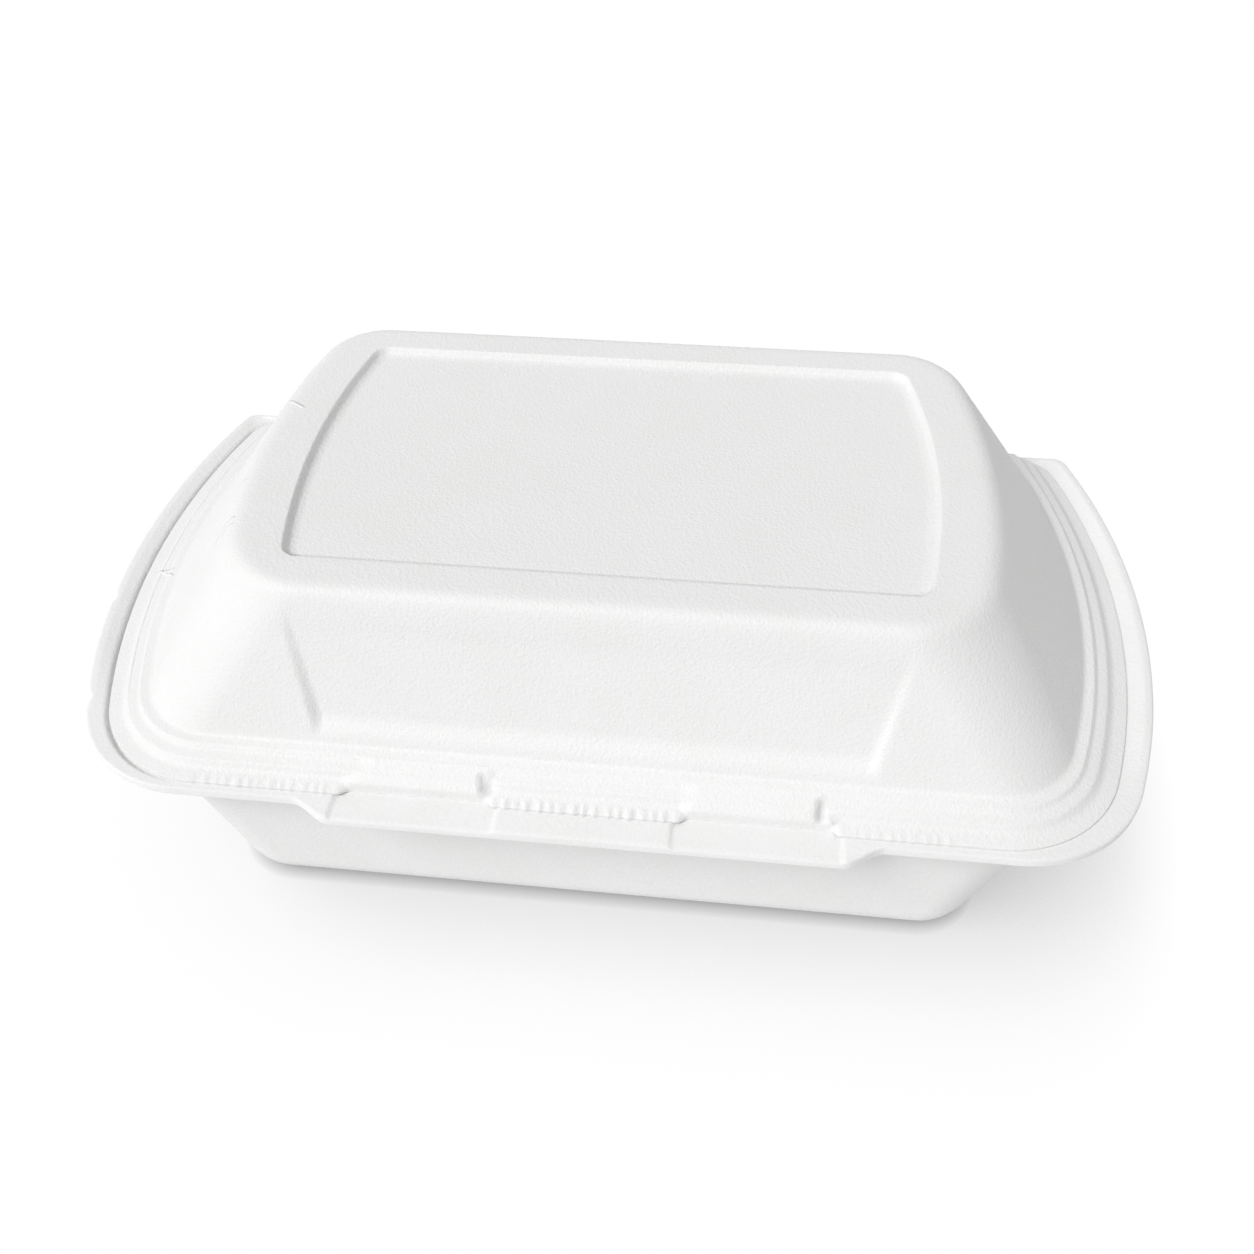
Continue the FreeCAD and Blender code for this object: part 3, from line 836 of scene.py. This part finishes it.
# %% Tray details
climb_start, climb_run = 12.0, 24.0
tab_half, tab_shoulder, tab_back = 52.0, 9.0, 1.0
crimp_from, crimp_fade, crimp_depth = 84.0, 20.0, 0.9
catch_inner, catch_soft, catch_back = 18.0, 0.7, 2.2
nick_places = np.array([[-114.8, -39.8, 43.0], [-120.4, -9.6, 43.8]])
nick_depths = [1.3, 0.9]
nick_size = 1.3
nick_stretch = np.array([0.25, 1.0, 0.25])


def raise_side_lip(points, place):
    """Lifts the lip by rise times a soft climb along Y, fading in from the lid's edge outwards."""
    across = np.interp(place, [BESIDE_LID, LIP_INNER, LIP_INNER_UNDER, BESIDE_UNDER],
                       [0.0, 1.0, 1.0, 0.0])
    climb = ease((points[:, :, 1] - crimp_y - climb_start) / climb_run)
    points[:, :, 2] += lip_rise * across[:, None] * climb


def draw_out_tab(points, place):
    """Moves the front lip outwards by the tab's reach times a soft shoulder along X."""
    across = np.interp(place, [BESIDE_LID, LIP_INNER, LIP_EDGE, LIP_UNDER, LIP_INNER_UNDER,
                               BESIDE_UNDER], [0.0, 0.6, 1.0, 1.0, 0.6, 0.0])
    shoulder = ease((tab_half + tab_shoulder - np.abs(points[:, :, 0])) / tab_shoulder)
    front = points[:, :, 1] < crimp_y + tab_back
    points[:, :, 1] -= (tab_reach - lip_front_reach) * across[:, None] * shoulder * front


def lower_catches(points, place):
    """Drops the tab's top between two distances from the middle, with steep soft steps."""
    x = np.abs(points[:, :, 0])
    inside = ease((x - catch_inner) / catch_soft + 0.5) * ease((tab_half - x) / catch_soft + 0.5)
    top = np.interp(place, [BEAD_FOOT, BEAD_FOOT + 0.2, LIP_EDGE + 0.3, LIP_UNDER],
                    [0.0, 1.0, 1.0, 0.0])
    front = points[:, :, 1] < crimp_y + catch_back
    points[:, :, 2] -= catch_drop * top[:, None] * inside * front


def crease_crimp(points, place):
    """Narrow V groove beside the lid's edge, along the left and round the left front corner."""
    on_left = ease((-points[:, :, 0] - crimp_from) / crimp_fade)
    row = np.interp(place, [BEAD_FOOT, BESIDE_LID, BESIDE_LID + 0.3], [0.0, 1.0, 0.0])
    points[:, :, 2] -= crimp_depth * row[:, None] * on_left


def add_nicks(points, place):
    """Dents in the cut edge: a push towards the middle that falls as exp(-distance^2 / size^2)."""
    near_edge = np.interp(place, [LIP_INNER, LIP_EDGE, LIP_UNDER, LIP_INNER_UNDER],
                          [0.2, 1.0, 1.0, 0.2])
    for nick, depth in zip(nick_places, nick_depths):
        away = np.sum((points - nick) ** 2 * nick_stretch, axis=2)
        points[:, :, 0] += depth * near_edge[:, None] * np.exp(-away / nick_size ** 2)


tray_points = ring_points(tray_rows)
raise_side_lip(tray_points, tray_place)
draw_out_tab(tray_points, tray_place)
lower_catches(tray_points, tray_place)
crease_crimp(tray_points, tray_place)
add_nicks(tray_points, tray_place)
floor_rings = fill(tray_points[0], np.linspace(0.1, 0.95, 6))
bottom_rings = fill(tray_points[-1], np.linspace(0.9, 0.1, 4))
tray_shell = shell("tray_shell", np.concatenate([floor_rings, tray_points, bottom_rings]),
                   [foam_skin, foam_cut])

ring_count = tray_points.shape[1]
quad_rows = len(floor_rings) + len(tray_points) + len(bottom_rings) - 1
row_place = np.concatenate([np.full(len(floor_rings), -1.0), tray_place,
                            np.full(len(bottom_rings), len(tray_stations))])
middle = (row_place[:-1] + row_place[1:]) / 2
cut_margin = 0.02
is_cut = (middle > LIP_EDGE + cut_margin) & (middle < LIP_UNDER - cut_margin)
slots = np.zeros(len(tray_shell.data.polygons), np.int32)
slots[:quad_rows * ring_count] = np.repeat(is_cut, ring_count)
tray_shell.data.polygons.foreach_set("material_index", slots)
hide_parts("base_tray")
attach(tray_shell, "tray")

# %% [markdown]
# Along the back the sheet is pressed thin and bends: that is the hinge. The bend is a skin that
# goes more than half way round the fold's axis and follows the tray at its lower edge and the lid
# at its upper one. It lies over a slim bead that closes the tray's rear edge.

# %% Fold
fold_radius = tray_high[1] - hinge_y
fold_half = 100.0
skin_sheet = 0.25
skin_clearance = 0.1
strip_end_share = 0.8
strip_stops = 60
skin_from, skin_to = -95.0, 130.0


def sweep_along_x(name, section, half, end_inset, material):
    """Closed strip: a section in the YZ plane carried along X, drawn in a little at its ends."""
    stops = np.array([-half, -half + end_inset, half - end_inset, half])
    stops = np.concatenate([stops[:2], np.linspace(stops[1], stops[2], strip_stops)[1:-1], stops[2:]])
    centre = section.mean(axis=0)
    draw = np.ones(len(stops))
    draw[[0, -1]] = strip_end_share
    yz = centre + (section - centre)[None] * draw[:, None, None]
    points = np.concatenate([np.broadcast_to(stops[:, None, None], yz.shape[:2] + (1,)), yz], axis=2)
    return shell(name, points, [material])


turn = np.linspace(0.0, -2 * math.pi, 28, endpoint=False)
bead_radius = fold_radius - skin_sheet - skin_clearance
bead_section = hinge[1:] + bead_radius * np.stack([np.cos(turn), np.sin(turn)], axis=1)
fold_bead = sweep_along_x("fold_bead", bead_section, fold_half, 0.4, foam_skin)
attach(fold_bead, "tray")

skin_turn = np.radians(np.linspace(skin_from, skin_to, 32))
arc = np.stack([np.cos(skin_turn), np.sin(skin_turn)], axis=1)
skin_section = np.concatenate([fold_radius * arc, (fold_radius - skin_sheet) * arc[::-1]])[::-1]
skin_section += hinge[1:]
fold_skin = sweep_along_x("fold_skin", skin_section, fold_half, 0.3, foam_skin)
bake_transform(fold_skin)

# %% [markdown]
# Last, the view layer is updated. The surfaces are worked out from the solids, so the visual
# model's box should agree with the solids' box within the thickness of a hair.

# %% Finish
bpy.context.view_layer.update()
